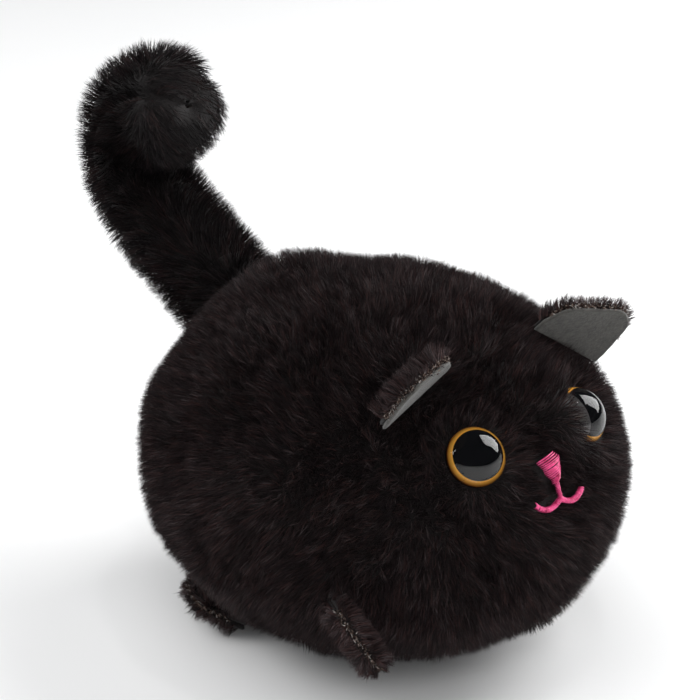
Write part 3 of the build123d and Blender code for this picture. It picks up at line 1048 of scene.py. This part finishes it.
def thread_tubes(name, lines, node_name):
    """A mesh of round threads, each along its own line of points in the assembly's frame."""
    sides = 8
    angles = np.arange(sides) * 2 * math.pi / sides
    corners = np.arange(sides)
    points, faces = [], []
    for line in lines:
        ahead = unit(np.gradient(line, axis=0))
        sideways = unit(np.cross(ahead, THREAD_REFERENCE))
        upward = np.cross(sideways, ahead)
        sizes = np.full((len(line), 1, 1), THREAD_RADIUS)
        sizes[[0, -1]] *= THREAD_END
        ring = sideways[:, None] * np.cos(angles)[:, None] + upward[:, None] * np.sin(angles)[:, None]
        start = len(points)
        points.extend((line[:, None] + ring * sizes).reshape(-1, 3))
        faces.extend(tuple(start + np.array(face)) for face in grid_faces(len(line), sides, True))
        faces.append(tuple(start + corners)[::-1])
        faces.append(tuple(start + (len(line) - 1) * sides + corners))
    ob = mesh_object(name, points, faces, THREAD)
    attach(ob, "body")
    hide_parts(node_name)


def raised_stitch(x0, z0, x1, z1, crown, rng, steps=7):
    """One satin stitch between two places on the face, arched over the pile's surface."""
    share = np.linspace(0, 1, steps)
    arch = np.sin(np.pi * share)
    wobble = rng.normal(size=2) * 0.05
    x = x0 + (x1 - x0) * share + wobble[0] * arch
    z = z0 + (z1 - z0) * share + wobble[1] * arch
    points = face_point(x, z)
    normals = ellipsoid_normal(points, BODY_HALF)
    return points + normals * (-0.45 + crown * arch**0.6)[:, None] + CENTRE


def make_nose():
    rng = np.random.default_rng(500)
    lines = []
    for index in range(int((NOSE_HEIGHT + 1.2) / THREAD_PITCH)):
        z = NOSE_TOP_Z + 0.5 - index * THREAD_PITCH
        ends = []
        for side in (-1, 1):
            z_end = z + side * NOSE_STITCH_RISE
            share = np.clip((z_end - (NOSE_TOP_Z - NOSE_HEIGHT)) / NOSE_HEIGHT, 0, 1)
            half = NOSE_BOTTOM_HALF_WIDTH + (NOSE_HALF_WIDTH - NOSE_BOTTOM_HALF_WIDTH) * share**0.8
            half -= 1.2 * max(z_end - NOSE_TOP_Z, 0)
            ends.append((STITCH_CENTRE_X + side * (half + rng.normal() * 0.08), z_end))
        if ends[1][0] - ends[0][0] > 0.8:
            lines.append(raised_stitch(*ends[0], *ends[1], 1.15, rng, steps=9))
    thread_tubes("nose_threads", lines, "nose_embroidery")


def satin_column(path, width, crown, rng):
    """Short slanted stitches side by side along a path of (x, z) places."""
    path = resample(np.asarray(path), THREAD_PITCH * 0.92)
    ahead = unit(np.gradient(path, axis=0))
    side = np.stack([ahead[:, 1], -ahead[:, 0]], axis=1)
    lines = []
    for place, along, out in zip(path, ahead, side):
        half = width / 2 * (1 + 0.08 * rng.normal())
        start = place - out * half - along * 0.22
        end = place + out * half + along * 0.22
        lines.append(raised_stitch(*start, *end, crown, rng))
    return lines


def make_mouth():
    rng = np.random.default_rng(501)
    top = NOSE_TOP_Z - NOSE_HEIGHT + 0.3
    line = [(STITCH_CENTRE_X, top), (STITCH_CENTRE_X + 0.1, MOUTH_JUNCTION_Z - 0.2)]
    lines = satin_column(line, STITCH_WIDTH * 0.8, 0.9, rng)
    share = np.linspace(0, 1, 24)
    for side in (-1, 1):
        x, z = mouth_curve(share, side)
        lines += satin_column(np.column_stack([x, z]), STITCH_WIDTH, 1.05, rng)
    thread_tubes("mouth_threads", lines, "mouth_embroidery")


# Eyes

def lathe(name, profile, place, facing, material):
    """A turned solid: profile rows are (radius, height) from its foot on the axis to its top on the axis."""
    across_axis = unit(across(np.array([0.0, 0.0, 1.0]), facing))
    other = np.cross(facing, across_axis)
    turns = np.linspace(0, 2 * math.pi, 96, endpoint=False)
    rows = []
    for radius, height in profile:
        ring = radius * (np.cos(turns)[:, None] * across_axis + np.sin(turns)[:, None] * other)
        rows.append(place + ring + facing * height)
    return grid_sheet(name, np.array(rows), material, True)


def iris_material(side):
    """Amber that deepens to its rim, worked out from the distance to the middle of the eye."""
    material = new_material(f"{side}_iris_amber", (0.6, 0.25, 0.03), 0.6, Specular_IOR_Level=0.1)
    centre = (EYES[side][0] + CENTRE) * MM
    place = node(material, "ShaderNodeTexCoord")
    offset = node(material, "ShaderNodeVectorMath", operation="SUBTRACT")
    offset.inputs[1].default_value = tuple(centre)
    distance = node(material, "ShaderNodeVectorMath", operation="LENGTH")
    spread = node(material, "ShaderNodeMapRange")
    spread.inputs["From Min"].default_value = EYE_RADIUS * 0.58 * MM
    spread.inputs["From Max"].default_value = EYE_RADIUS * MM
    ramp = node(material, "ShaderNodeValToRGB")
    ramp.color_ramp.elements[0].color = (0.50, 0.20, 0.018, 1)
    ramp.color_ramp.elements[1].color = (0.16, 0.045, 0.003, 1)
    bright = ramp.color_ramp.elements.new(0.45)
    bright.color = (0.85, 0.42, 0.055, 1)
    link(material, place, "Object", offset, 0)
    link(material, offset, "Vector", distance, 0)
    link(material, distance, "Value", spread, "Value")
    link(material, spread, "Result", ramp, "Fac")
    link(material, ramp, "Color", shader_of(material), "Base Color")
    return material


def paint_node(name, material):
    """Gives a CAD node that stays in view its material."""
    ob = frame["nodes"][name]
    ob.data.materials.clear()
    ob.data.materials.append(material)


def make_eyes():
    glass = new_material("clear_dome", (1.0, 1.0, 1.0), 0.0, Transmission_Weight=1.0, IOR=1.49)
    pupil = new_material("pupil_black", (0.003, 0.003, 0.0035), 0.8, Specular_IOR_Level=0.0)
    plastic = new_material("eye_plastic", (0.006, 0.005, 0.005), 0.75, Specular_IOR_Level=0.1)
    add_mottle(plastic, (0.004, 0.0035, 0.0035), (0.008, 0.0065, 0.0065), 300)
    washer = new_material("washer_plastic", (0.72, 0.72, 0.70), 0.5)
    add_bump(washer, 1500, 0.03)
    sphere = (EYE_RADIUS**2 + EYE_DOME_HEIGHT**2) / (2 * EYE_DOME_HEIGHT)
    edge_angle = math.asin(EYE_RADIUS / sphere)
    profile = [((EYE_RADIUS - 0.1) * share, -EYE_SEATING) for share in (0.0, 0.25, 0.5, 0.75, 0.9, 1.0)]
    for angle in np.linspace(edge_angle, 0, 40):
        profile.append((sphere * math.sin(angle), sphere * (math.cos(angle) - math.cos(edge_angle))))
    for side, (middle, facing) in EYES.items():
        dome = lathe(f"{side}_eye_dome", profile, middle + CENTRE, facing, glass)
        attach(dome, "body")
        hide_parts(f"{side}_eye_lens")
        paint_node(f"{side}_eye_iris", iris_material(side))
        paint_node(f"{side}_eye_pupil", pupil)
        paint_node(f"{side}_eye_post", plastic)
        paint_node(f"{side}_eye_washer", washer)


def make_filling():
    """The loose fibre inside, which only shows if the toy is opened."""
    fibre = new_material("fibre_fill", (0.86, 0.86, 0.84), 0.95, Sheen_Weight=0.3)
    add_mottle(fibre, (0.74, 0.74, 0.72), (0.92, 0.92, 0.90), 220)
    add_bump(fibre, 500, 0.8)
    rings = np.linspace(0, math.pi, 60)[:, None]
    turns = np.linspace(0, 2 * math.pi, 96, endpoint=False)
    upward = np.cos(rings) + 0 * turns
    directions = np.stack([np.sin(rings) * np.cos(turns), np.sin(rings) * np.sin(turns), upward], axis=-1)
    plain = directions * (BODY_HALF - FILLING_INSET)
    lumps = 0.7 * wave_noise(31, 14.0)(plain.reshape(-1, 3)).reshape(60, 96, 1)
    body = grid_sheet("body_fibre", plain + directions * lumps + CENTRE, fibre, True)
    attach(body, "body")
    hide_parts("body_filling")
    for name, bodies, start, end, joint_at in TAIL_CUTS:
        end = min(end, TAIL_END - 4.5)
        rows = np.linspace(start + 0.4, end - 0.4, 30)
        share = (rows - rows[0]) / (rows[-1] - rows[0])
        radius = TAIL_FILLING_RADIUS * np.minimum(1, np.sqrt(1 - (2 * share - 1) ** 4) + 1e-4)
        middle, _, inside = tail_axis_at(rows)
        around = np.linspace(0, 2 * math.pi, 40, endpoint=False)
        outward = inside[:, None] * np.cos(around)[:, None] + LEFTWARD * np.sin(around)[:, None]
        grid = middle[:, None] + outward * radius[:, None, None]
        fibres = grid_sheet(f"{name}_fibre", grid, fibre, True)
        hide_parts(f"{name}_filling")
        bend_at(fibres)


# Stage

def direction(azimuth, elevation):
    """The unit vector from the object towards a place seen at these angles, in degrees."""
    a, e = math.radians(azimuth), math.radians(elevation)
    return np.array([math.sin(a) * math.cos(e), -math.cos(a) * math.cos(e), math.sin(e)])


def aim(ob, place, back):
    """Puts a camera or a light at a place in metres, with its back towards a direction."""
    ob.location = Vector(place)
    ob.rotation_mode = "QUATERNION"
    ob.rotation_quaternion = Vector(back).to_track_quat("Z", "Y")


def make_camera():
    back = direction(CAMERA_AZIMUTH, CAMERA_ELEVATION)
    right = unit(np.cross(np.array([0.0, 0.0, 1.0]), back))
    upward = np.cross(back, right)
    target = CENTRE - right * AIM_LEFT + upward * AIM_UP
    data = bpy.data.cameras.new("camera")
    data.lens = CAMERA_LENS
    data.sensor_width = 36.0
    data.clip_start = 0.02
    data.clip_end = 50.0
    camera = new_object("camera", data)
    aim(camera, (target + back * CAMERA_DISTANCE) * MM, back)
    bpy.context.scene.camera = camera


def area_light(name, towards, distance, width, height, power, glossy=True):
    """A softbox at a direction and distance from the body, facing it. Lengths are in metres."""
    data = bpy.data.lights.new(name, "AREA")
    data.shape = "RECTANGLE"
    data.size = width
    data.size_y = height
    data.energy = power
    ob = new_object(name, data)
    aim(ob, CENTRE * MM + unit(towards) * distance, towards)
    ob.visible_glossy = glossy


def make_lights():
    area_light("softbox_right", (0.768, -0.215, 0.603), 0.80, 0.55, 0.75, 7.5)
    area_light("softbox_left", (-0.579, 0.646, 0.496), 0.90, 0.40, 0.50, 3.2)
    area_light("overhead_lamp", (0.057, -0.193, 0.978), 1.10, 0.05, 0.05, 0.5)
    area_light("front_fill", (-0.45, -0.72, 0.53), 0.85, 0.60, 0.60, 3.0, glossy=False)
    data = bpy.data.lights.new("ceiling", "SUN")
    data.energy = 1.45
    data.angle = math.radians(70)
    sun = new_object("ceiling", data)
    aim(sun, (0, 0, 0), direction(-150, 62))
    sun.visible_glossy = False
    world = bpy.data.worlds.new("studio")
    world.use_nodes = True
    sky = world.node_tree.nodes["Background"]
    sky.inputs["Color"].default_value = (0.80, 0.88, 1.0, 1)
    sky.inputs["Strength"].default_value = 0.05
    bpy.context.scene.world = world


def make_floor():
    """A plain pale floor, wide enough to fill every view."""
    size = 6000.0
    corners = [(-size, -size, 0), (size, -size, 0), (size, size, 0), (-size, size, 0)]
    material = new_material("pale_floor", (0.93, 0.93, 0.93), 0.8)
    add_mottle(material, (0.92, 0.92, 0.92), (0.94, 0.94, 0.94), 2.0)
    floor = mesh_object("floor", corners, [(0, 1, 2, 3)], material, smooth=False)


make_camera()
make_floor()
make_lights()
bpy.context.scene.view_settings.view_transform = "Standard"
make_body_cloth()
make_body_pile()
make_tail()
make_ears()
make_feet()
make_nose()
make_mouth()
make_eyes()
make_filling()
